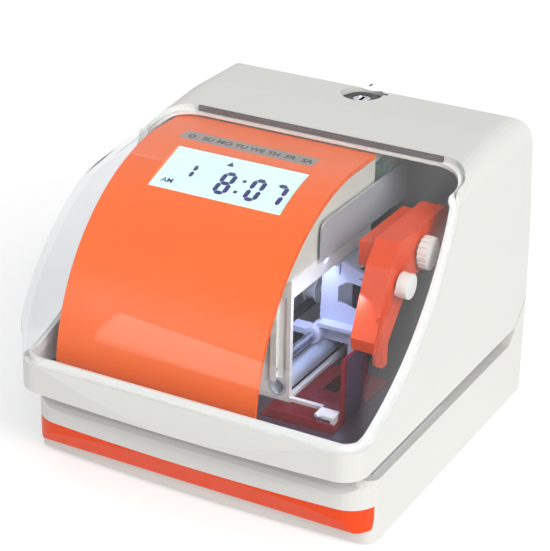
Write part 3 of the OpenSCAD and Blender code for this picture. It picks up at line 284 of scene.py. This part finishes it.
makers = {"plastic": plastic, "metal": metal, "clear": clearPlastic, "board": circuitBoard}
finishes = {
    "whiteHousing": ("plastic", {"colour": (232, 232, 228), "grain": 0.45, "roughness": 0.4, "mottle": 0.008,
                                 "bump": 0.25}),
    "whiteSmall": ("plastic", {"colour": (222, 223, 219), "grain": 0.6, "roughness": 0.38, "bump": 0.1}),
    "whiteModule": ("plastic", {"colour": (205, 205, 196), "grain": 0.6, "roughness": 0.4, "bump": 0.15}),
    "paleBracket": ("plastic", {"colour": (208, 214, 236), "grain": 0.5, "roughness": 0.4, "bump": 0.1}),
    "orangePanel": ("plastic", {"colour": (240, 98, 0), "grain": 0.5, "roughness": 0.36, "mottle": 0.015,
                                "bump": 0.06}),
    "orangeTrim": ("plastic", {"colour": (246, 72, 0), "grain": 0.5, "roughness": 0.42, "bump": 0.12}),
    "orangeCassette": ("plastic", {"colour": (214, 66, 4), "grain": 0.6, "roughness": 0.4, "bump": 0.15}),
    "darkDeck": ("plastic", {"colour": (62, 52, 68), "grain": 0.5, "roughness": 0.35, "bump": 0.15}),
    "blackMatt": ("plastic", {"colour": (30, 29, 33), "grain": 0.5, "roughness": 0.5, "bump": 0.25}),
    "greyColumn": ("plastic", {"colour": (150, 152, 156), "grain": 0.45, "roughness": 0.45}),
    "greyTube": ("plastic", {"colour": (168, 178, 196), "grain": 0.4, "roughness": 0.35, "bump": 0.1}),
    "greyStrip": ("plastic", {"colour": (146, 138, 132), "grain": 0.3, "roughness": 0.4, "bump": 0.1}),
    "rubberFoot": ("plastic", {"colour": (34, 34, 36), "grain": 0.3, "roughness": 0.75, "bump": 0.5}),
    "rubberBelt": ("plastic", {"colour": (28, 28, 30), "grain": 0.25, "roughness": 0.65, "bump": 0.4}),
    "gasket": ("plastic", {"colour": (104, 98, 100), "grain": 0.3, "roughness": 0.5}),
    "inkedCloth": ("plastic", {"colour": (48, 22, 52), "grain": 0.25, "roughness": 0.8, "bump": 0.8}),
    "displayGlass": ("plastic", {"colour": (196, 228, 220), "grain": 0.9, "roughness": 0.12, "mottle": 0.015,
                                 "bump": 0.02, "glow": 0.34, "glowColour": (206, 240, 232)}),
    "diffuser": ("plastic", {"colour": (232, 240, 238), "grain": 0.5, "roughness": 0.5}),
    "blackInk": ("plastic", {"colour": (16, 14, 16), "grain": 0.2, "roughness": 0.5, "bump": 0.05}),
    "navySegment": ("plastic", {"colour": (0, 4, 104), "grain": 0.4, "roughness": 0.5, "bump": 0.02}),
    "paintedPlate": ("plastic", {"colour": (164, 166, 172), "grain": 0.35, "roughness": 0.42, "bump": 0.25}),
    "satinSteel": ("metal", {"colour": (188, 190, 196), "roughness": 0.42}),
    "deckSteel": ("metal", {"colour": (150, 152, 158), "roughness": 0.38, "across": (0.02, 1.0, 1.0)}),
    "groundSteel": ("metal", {"colour": (206, 210, 218), "roughness": 0.3, "across": (1.0, 0.05, 1.0)}),
    "zincPlate": ("metal", {"colour": (190, 192, 194), "roughness": 0.42, "line": 0.3,
                            "across": (1.0, 1.0, 1.0)}),
    "chrome": ("metal", {"colour": (206, 208, 212), "roughness": 0.1, "spread": 0.04}),
    "darkHead": ("metal", {"colour": (58, 58, 64), "roughness": 0.3}),
    "cutBrass": ("metal", {"colour": (206, 176, 104), "roughness": 0.3, "across": (0.05, 1.0, 1.0)}),
    "clearCover": ("clear", {"colour": (250, 251, 252), "shade": (236, 238, 240), "ior": 1.012,
                             "roughness": 0.003, "spread": 0.002, "bump": 0.002, "coat": 0.5}),
    "clearCorner": ("clear", {"colour": (250, 251, 253), "shade": (230, 232, 235), "ior": 1.22,
                              "roughness": 0.12, "spread": 0.03, "bump": 0.002, "coat": 0.8}),
    "tintedMask": ("clear", {"colour": (172, 24, 48), "shade": (208, 84, 90), "ior": 1.2, "roughness": 0.05,
                             "spread": 0.03, "bump": 0.05, "coat": 0.3, "through": 0.6}),
    "greenBoard": ("board", {"colour": (38, 96, 62), "track": (60, 128, 84), "pitch": 3.0}),
    "paleBoard": ("board", {"colour": (128, 170, 154), "track": (150, 190, 172), "pitch": 2.4}),
}
finish = {name: makers[kind](name, dict(usual[kind], **look)) for name, (kind, look) in finishes.items()}

finishOfNode = {
    "whiteHousing": ("base_housing", "upper_case"),
    "whiteSmall": ("printer_frame", "front_pulley", "drive_pulley", "drive_gear", "ribbon_knob",
                   "supply_wheel", "mask_clip", "trigger_lever"),
    "whiteModule": ("module_case",),
    "paleBracket": ("carriage",),
    "orangePanel": ("display_panel",),
    "orangeTrim": ("base_trim", "paper_stop"),
    "orangeCassette": ("ribbon_cassette",),
    "darkDeck": ("bay_floor",),
    "blackMatt": ("cassette_holder", "lcd_frame", "dc_inlet", "set_button_left", "set_button_middle",
                  "set_button_right"),
    "greyColumn": ("support_column",),
    "greyTube": ("guide_tube",),
    "greyStrip": ("day_strip",),
    "rubberFoot": ("rubber_feet", "platen_pad"),
    "rubberBelt": ("drive_belt",),
    "gasket": ("cover_gasket",),
    "inkedCloth": ("inked_ribbon",),
    "displayGlass": ("lcd_glass",),
    "diffuser": ("lcd_backlight",),
    "paintedPlate": ("side_plate",),
    "satinSteel": ("back_plate", "paper_table"),
    "deckSteel": ("deck_plate",),
    "groundSteel": ("carriage_shaft", "locating_pin", "pulley_axle", "trigger_pin"),
    "zincPlate": ("bottom_plate", "bottom_screws", "lock_nut", "lock_cam", "drive_motor"),
    "chrome": ("lock_plug",),
    "darkHead": ("print_head", "lock_barrel"),
    "cutBrass": ("motor_pinion",),
    "clearCover": ("clear_cover",),
    "tintedMask": ("ribbon_mask",),
    "greenBoard": ("power_board", "bay_lamp"),
    "paleBoard": ("control_board",),
}
for name, members in finishOfNode.items():
    for member in members:
        slots = nodes[member].data.materials
        slots.clear()
        slots.append(finish[name])
print("stage: finishes on", sum(len(m) for m in finishOfNode.values()), "nodes")


def meshOf(name, shape):  # shape: corners in metres, and faces
    verts, faces = shape
    mesh = bpy.data.meshes.new(name)
    mesh.from_pydata([tuple(v) for v in verts], [], faces)
    mesh.update()
    return mesh


def finalMesh(holder, name):  # what an object looks like with its modifiers on
    bpy.context.view_layer.update()
    mesh = bpy.data.meshes.new_from_object(holder.evaluated_get(bpy.context.evaluated_depsgraph_get()))
    mesh.name = name
    return mesh


def newPiece(name, shape, material, body):
    mesh = meshOf(name, shape)
    mesh.materials.append(finish[material])
    piece = placed(name, mesh)
    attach(piece, body)
    return piece


def prisms(outlines, low, high, place):  # flat outlines, each raised from low to high, in a turned frame
    verts, faces = [], []
    for outline in outlines:
        first, n = len(verts), len(outline)
        verts += [place @ Vector(metres(x, y, z)) for z in (low, high) for x, y in outline]
        faces.append([first + i for i in reversed(range(n))])
        faces.append([first + n + i for i in range(n)])
        faces += [[first + i, first + (i + 1) % n, first + n + (i + 1) % n, first + n + i] for i in range(n)]
    return verts, faces


def rectangle(x, y, halfWidth, halfHeight):
    return [(x - halfWidth, y - halfHeight), (x + halfWidth, y - halfHeight),
            (x + halfWidth, y + halfHeight), (x - halfWidth, y + halfHeight)]


def circleAngles(count):
    return [2 * math.pi * i / count for i in range(count)]


# The display panel's round face: its axis, along X, and its radius.
panelCurve = {"y": 12.99, "z": 35.2, "radius": 81.2}


def onPanel(x, angle, depth=0.0):  # a frame on the panel's face: X across, Y up it, Z out of it
    turn = Matrix.Rotation(math.radians(angle), 4, "X")
    out = turn @ Vector((0, 0, (panelCurve["radius"] - depth) / 1000))
    return Matrix.Translation(Vector((x, panelCurve["y"], panelCurve["z"])) / 1000 + out) @ turn


# Millimetres on the glass, from its middle. A digit has its middle, width, height and stroke.
figures = {"x": -17.44, "angle": 18.86, "depth": 1.5, "raised": 0.08, "sunk": 0.02, "gap": 0.16,
           "digits": [("8", -0.2, -2.3, 6.4, 13.4, 2.0), ("0", 13.2, -2.3, 6.2, 13.3, 2.0),
                      ("7", 22.9, -2.4, 6.4, 12.9, 2.0), ("1", -17.0, 0.4, 3.8, 9.2, 1.6)],
           "dots": [(6.75, 1.1), (6.2, -5.7)], "dot": 1.5,
           "pointer": [(-3.4, 10.1), (-5.0, 7.5), (-1.9, 7.5)]}
segmentsOf = {"8": "abcdefg", "0": "abcdef", "7": "abc", "1": "bc"}


def segment(letter, x, y, width, height, stroke, gap):  # one bar of a digit, pointed at both ends
    half = stroke / 2
    left, right = x - width / 2 + half, x + width / 2 - half
    top, low = y + height / 2 - half, y - height / 2 + half
    ends = {"a": ((left, top), (right, top)), "b": ((right, top), (right, y)),
            "c": ((right, y), (right, low)), "d": ((left, low), (right, low)),
            "e": ((left, y), (left, low)), "f": ((left, top), (left, y)), "g": ((left, y), (right, y))}
    start, end = (Vector(point) for point in ends[letter])
    along = (end - start).normalized()
    side = Vector((-along.y, along.x)) * half
    start, end = start + along * gap, end - along * gap
    points = [start, start + along * half - side, end - along * half - side, end, end - along * half + side,
              start + along * half + side]
    return [(p.x, p.y) for p in points]


def makeFigures(settings):
    outlines = [segment(letter, *place, settings["gap"]) for digit, *place in settings["digits"]
                for letter in segmentsOf[digit]]
    outlines += [rectangle(x, y, settings["dot"] / 2, settings["dot"] / 2) for x, y in settings["dots"]]
    outlines.append(settings["pointer"])
    onGlass = onPanel(settings["x"], settings["angle"], settings["depth"])
    shape = prisms(outlines, -settings["sunk"], settings["raised"], onGlass)
    newPiece("displayFigures", shape, "navySegment", "chassis")


def textMesh(name, text, size, raised, bold):
    curve = bpy.data.curves.new(name, "FONT")
    curve.body, curve.size, curve.extrude, curve.offset = text, size / 1000, raised / 1000, bold / 1000
    curve.align_x, curve.align_y = "CENTER", "CENTER"
    curve.resolution_u = 3
    holder = placed(name, curve)
    mesh = finalMesh(holder, name)
    bpy.data.objects.remove(holder)
    return mesh


def flatText(name, words, settings, material, body):  # words: each text with its frame
    joined = bmesh.new()
    for text, place in words:
        mesh = textMesh(name, text, settings["size"], settings["raised"], settings["bold"])
        mesh.transform(place)
        joined.from_mesh(mesh)
        bpy.data.meshes.remove(mesh)
    bmesh.ops.remove_doubles(joined, verts=joined.verts, dist=1e-7)
    mesh = bpy.data.meshes.new(name)
    joined.to_mesh(mesh)
    joined.free()
    mesh.materials.clear()
    mesh.materials.append(finish[material])
    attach(placed(name, mesh), body)


halfDay = {"text": "AM", "left": 23.4, "down": 7.8, "size": 3.6, "raised": 0.06, "bold": 0.05}


def makeHalfDay(settings):
    onGlass = onPanel(figures["x"] - settings["left"], figures["angle"], figures["depth"])
    place = onGlass @ Matrix.Translation(metres(0, -settings["down"], 0))
    flatText("halfDayWord", [(settings["text"], place)], settings, "navySegment", "chassis")


makeFigures(figures)
makeHalfDay(halfDay)

# The strip of weekdays: where each word stands along X, and the sun before them.
weekdays = {"angle": 3.68, "size": 4.3, "raised": 0.06, "bold": 0.07,
            "words": {"SU": -38.7, "MO": -31.1, "TU": -23.5, "WE": -16.1, "TH": -8.7, "FR": -1.2, "SA": 6.3},
            "sun": -46.0, "sunOuter": 1.75, "sunInner": 1.35, "sunHole": 0.85, "sunk": 0.04, "rays": 8}


def makeWeekdays(settings):
    words = [(word, onPanel(x, settings["angle"])) for word, x in settings["words"].items()]
    flatText("weekdayWords", words, settings, "blackInk", "chassis")


def makeSun(settings):  # a toothed ring: outer and inner loops, top, bottom and both walls
    n = settings["rays"] * 4
    place = onPanel(settings["sun"], settings["angle"])
    outer = [settings["sunOuter"] if i % 4 < 2 else settings["sunInner"] for i in range(n)]
    inner = [settings["sunHole"]] * n
    verts, faces = [], []
    for z in (-settings["sunk"], settings["raised"]):
        for radii in (outer, inner):
            verts += [place @ Vector(metres(r * math.cos(a), r * math.sin(a), z))
                      for r, a in zip(radii, circleAngles(n))]
    for i in range(n):
        j = (i + 1) % n
        faces += [[2 * n + i, 2 * n + j, 3 * n + j, 3 * n + i], [i, n + i, n + j, j],
                  [i, j, 2 * n + j, 2 * n + i], [n + i, 3 * n + i, 3 * n + j, n + j]]
    newPiece("weekdaySun", (verts, faces), "blackInk", "chassis")


makeWeekdays(weekdays)
makeSun(weekdays)
print("stage: display and weekday marks made")


def makeRepeatTree():  # rows of one shape on a straight grid
    tree = bpy.data.node_groups.new("rowsOfPieces", "GeometryNodeTree")
    for label, kind in (("Shape", "Object"), ("Start", "Vector"), ("Count", "Int"), ("Step", "Vector"),
                        ("Rows", "Int"), ("Row Step", "Vector"), ("Finish", "Material")):
        tree.interface.new_socket(name=label, in_out="INPUT", socket_type="NodeSocket" + kind)
    tree.interface.new_socket(name="Geometry", in_out="OUTPUT", socket_type="NodeSocketGeometry")
    given, result = tree.nodes.new("NodeGroupInput").outputs, tree.nodes.new("NodeGroupOutput").inputs
    row = addNode(tree, "GeometryNodeMeshLine", {"Count": given["Count"], "Start Location": given["Start"],
                                                 "Offset": given["Step"]}).outputs[0]
    rows = addNode(tree, "GeometryNodeMeshLine", {"Count": given["Rows"],
                                                  "Offset": given["Row Step"]}).outputs[0]
    grid = addNode(tree, "GeometryNodeInstanceOnPoints", {"Points": rows, "Instance": row}).outputs[0]
    places = addNode(tree, "GeometryNodeRealizeInstances", {"Geometry": grid}).outputs[0]
    shape = addNode(tree, "GeometryNodeObjectInfo", {"Object": given["Shape"]}).outputs["Geometry"]
    copies = addNode(tree, "GeometryNodeInstanceOnPoints", {"Points": places, "Instance": shape}).outputs[0]
    real = addNode(tree, "GeometryNodeRealizeInstances", {"Geometry": copies}).outputs[0]
    finished = addNode(tree, "GeometryNodeSetMaterial", {"Geometry": real,
                                                         "Material": given["Finish"]}).outputs[0]
    tree.links.new(finished, result["Geometry"])
    return tree


repeatTree = makeRepeatTree()


def repeated(name, shape, layout, material, body):
    pattern = placed(name + "Shape", meshOf(name + "Shape", shape))
    piece = placed(name, bpy.data.meshes.new(name))
    modifier = piece.modifiers.new("rows", "NODES")
    modifier.node_group = repeatTree
    values = dict(layout, Shape=pattern, Finish=finish[material])
    for item in repeatTree.interface.items_tree:
        if item.in_out == "INPUT":
            modifier[item.identifier] = values[item.name]
    mesh = finalMesh(piece, name)
    piece.modifiers.remove(modifier)
    piece.data = mesh
    bpy.data.objects.remove(pattern)
    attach(piece, body)


# Teeth inside both runs of the belt. "inside" is how far they lie above and below the belt's middle.
beltTeeth = {"x": 7, "front": -29.8, "middle": 58.5, "inside": 5.0, "width": 3.8, "radius": 0.45, "sides": 10,
             "pitch": 2.0, "count": 23}


def makeBeltTeeth(settings):
    acrossBelt = Matrix(((0, 0, 1, 0), (1, 0, 0, 0), (0, 1, 0, 0), (0, 0, 0, 1)))  # Y and Z outline along X
    outline = [(settings["radius"] * math.cos(a), settings["radius"] * math.sin(a))
               for a in circleAngles(settings["sides"])]
    half = settings["width"] / 2
    repeated("beltTeeth", prisms([outline], -half, half, acrossBelt),
             {"Start": metres(settings["x"], settings["front"], settings["middle"] - settings["inside"]),
              "Count": settings["count"], "Step": metres(0, settings["pitch"], 0), "Rows": 2,
              "Row Step": metres(0, 0, 2 * settings["inside"])}, "rubberBelt", "chassis")


# The cross in each bottom screw's head: the screws' places, and half a cross's length and width.
screwCrosses = {"x": 63.0, "front": -52.11, "rear": 70.49, "head": 0.75, "deep": 0.05, "reach": 1.7,
                "arm": 0.38}


def makeScrewCrosses(settings):
    reach, arm, deep = settings["reach"], settings["arm"], settings["deep"]
    cross = [(arm, arm), (arm, reach), (-arm, reach), (-arm, arm), (-reach, arm), (-reach, -arm),
             (-arm, -arm), (-arm, -reach), (arm, -reach), (arm, -arm), (reach, -arm), (reach, arm)]
    repeated("screwCrosses", prisms([cross], -deep, deep, Matrix.Identity(4)),
             {"Start": metres(-settings["x"], settings["front"], settings["head"]), "Count": 2,
              "Step": metres(2 * settings["x"], 0, 0), "Rows": 2,
              "Row Step": metres(0, settings["rear"] - settings["front"], 0)}, "blackInk", "chassis")


makeBeltTeeth(beltTeeth)
makeScrewCrosses(screwCrosses)
print("stage: belt teeth and screw crosses made")

# Millimetres and degrees: edges sharper than "sharp" are rounded, faces within "flat" are joined first.
coverEdges = {"width": 0.85, "segments": 3, "sharp": 35, "flat": 0.6, "weld": 0.002}


def roundedCover(settings):
    shell = bmesh.new()
    shell.from_mesh(nodes["clear_cover"].data)
    bmesh.ops.remove_doubles(shell, verts=shell.verts, dist=settings["weld"] / 1000)
    bmesh.ops.dissolve_limit(shell, angle_limit=math.radians(settings["flat"]), verts=shell.verts,
                             edges=shell.edges)
    mesh = bpy.data.meshes.new("roundedCover")
    shell.to_mesh(mesh)
    shell.free()
    mesh.materials.clear()
    mesh.materials.append(finish["clearCover"])
    mesh.materials.append(finish["clearCorner"])
    piece = placed("roundedCover", mesh)
    bevel = piece.modifiers.new("corners", "BEVEL")
    bevel.width, bevel.segments = settings["width"] / 1000, settings["segments"]
    bevel.limit_method, bevel.angle_limit = "ANGLE", math.radians(settings["sharp"])
    bevel.material = 1  # the corners catch the light
    solid = finalMesh(piece, "roundedCover")
    piece.modifiers.remove(bevel)
    piece.data = solid
    solid.shade_smooth()
    solid.set_sharp_from_angle(angle=math.radians(settings["sharp"]))
    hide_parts("clear_cover")
    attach(piece, "hood")


roundedCover(coverEdges)
print("stage: cover rounded")


def ringShape(outer, inner, low, high, place, count=48):
    verts, faces = [], []
    for radius, z in ((outer, low), (outer, high), (inner, high), (inner, low)):
        verts += [place @ Vector(metres(radius * math.cos(a), radius * math.sin(a), z))
                  for a in circleAngles(count)]
    for k in range(4):
        n = (k + 1) % 4
        for i in range(count):
            j = (i + 1) % count
            faces.append([k * count + i, k * count + j, n * count + j, n * count + i])
    return verts, faces


# The lock lies in a dish in the hood's top. Rings: outer and inner radius, then low and high over the dish.
# Marks on the top: middle, half width and half length.
lockFace = {"x": -1.0, "y": 69.99, "dish": 121.0, "top": 124.0, "ring": (3.6, 2.7, 0.45, 0.75),
            "shade": (8.9, 7.1, -0.02, 0.06), "marks": [(-2.2, 80.8, 0.45, 1.5), (8.2, 73.4, 1.1, 0.75)],
            "markSunk": 0.02, "markRaised": 0.04}


def makeLockFace(settings):
    inDish = Matrix.Translation(metres(settings["x"], settings["y"], settings["dish"]))
    newPiece("lockRing", ringShape(*settings["ring"], inDish), "chrome", "lock")
    newPiece("lockShade", ringShape(*settings["shade"], inDish), "blackMatt", "hood")
    onTop = Matrix.Translation(metres(0, 0, settings["top"]))
    marks = [rectangle(*mark) for mark in settings["marks"]]
    shape = prisms(marks, -settings["markSunk"], settings["markRaised"], onTop)
    newPiece("lockMarks", shape, "blackInk", "hood")


makeLockFace(lockFace)
print("stage: lock finished")

room = {"floor": (236, 236, 236), "floorGlow": 0.42, "floorRoughness": 0.9, "floorReach": 4,
        "air": 0.42, "airColour": (250, 251, 255)}


def straightView(tree):  # 1 for camera rays, and for mirrored or bent ones that met no matt surface yet
    path = addNode(tree, "ShaderNodeLightPath").outputs
    bent = mathNode(tree, "MAXIMUM", path["Is Glossy Ray"], path["Is Transmission Ray"])
    fresh = mathNode(tree, "LESS_THAN", path["Diffuse Depth"], 0.5)
    clean = mathNode(tree, "MULTIPLY", bent, fresh)
    return mathNode(tree, "MAXIMUM", path["Is Camera Ray"], clean)


def makeAir(settings):
    world = bpy.data.worlds.new("softRoom")
    scene.world = world
    world.use_nodes = True
    tree = world.node_tree
    tree.nodes.clear()
    soft = addNode(tree, "ShaderNodeBackground", {"Color": toLinear(*settings["airColour"]),
                                                  "Strength": settings["air"]})
    white = addNode(tree, "ShaderNodeBackground", {"Color": (1, 1, 1, 1), "Strength": 1.0})
    mixed = addNode(tree, "ShaderNodeMixShader", {0: straightView(tree), 1: soft.outputs[0],
                                                  2: white.outputs[0]})
    end = tree.nodes.new("ShaderNodeOutputWorld")
    tree.links.new(mixed.outputs[0], end.inputs[0])


def makeFloor(settings):
    material, tree, shader = newMaterial("paleFloor")
    setInputs(shader, {"Base Color": toLinear(*settings["floor"]), "Roughness": settings["floorRoughness"],
                       "Specular IOR Level": 0.0})
    glow = addNode(tree, "ShaderNodeEmission", {"Color": (1, 1, 1, 1)})
    strength = mathNode(tree, "MULTIPLY", straightView(tree), settings["floorGlow"])
    tree.links.new(strength, glow.inputs["Strength"])
    both = addNode(tree, "ShaderNodeAddShader", {0: shader.outputs[0], 1: glow.outputs[0]})
    tree.links.new(both.outputs[0], tree.nodes["Material Output"].inputs[0])
    reach = settings["floorReach"]
    mesh = meshOf("paleFloor", ([(x, y, 0) for x, y in rectangle(0, 0, reach, reach)], [(0, 1, 2, 3)]))
    mesh.materials.append(material)
    placed("paleFloor", mesh)


# A lamp's place, the point it shines at and its width and height are in metres; the sun's spread in degrees.
lamps = {
    "softSun": {"kind": "SUN", "from": (0.70, -0.39, 0.59), "at": (0, 0, 0), "power": 1.5, "spread": 50,
                "colour": (255, 254, 250)},
    "stripSoftBox": {"kind": "AREA", "from": (0.90, -0.48, 0.64), "at": (0, 0, 0.06), "power": 2.4,
                     "size": (0.06, 0.8), "colour": (255, 254, 250)},
    "frontSoftBox": {"kind": "AREA", "from": (-0.50, -1.00, 0.42), "at": (0, 0, 0.06), "power": 1.1,
                     "size": (0.5, 0.3), "colour": (255, 254, 250)},
    "rearBayLamp": {"kind": "AREA", "from": (0.020, -0.012, 0.0862), "at": (0.028, -0.024, 0.04),
                    "power": 0.014, "size": (0.012, 0.012), "colour": (196, 208, 255)},
    "frontBayLamp": {"kind": "AREA", "from": (0.045, -0.036, 0.0868), "at": (0.032, -0.030, 0.04),
                     "power": 0.008, "size": (0.012, 0.012), "colour": (196, 208, 255)},
}


def makeLamp(name, settings):
    lamp = bpy.data.lights.new(name, settings["kind"])
    lamp.energy = settings["power"]
    lamp.color = toLinear(*settings["colour"])[:3]
    if settings["kind"] == "SUN":
        lamp.angle = math.radians(settings["spread"])
    else:
        lamp.shape = "RECTANGLE"
        lamp.size, lamp.size_y = settings["size"]
    light = placed(name, lamp)
    light.location = settings["from"]
    aim = Vector(settings["at"]) - Vector(settings["from"])
    light.rotation_euler = aim.to_track_quat("-Z", "Y").to_euler()


makeAir(room)
makeFloor(room)
for name, settings in lamps.items():
    makeLamp(name, settings)
print("stage: room and lamps made")

scene.view_settings.view_transform = "Standard"
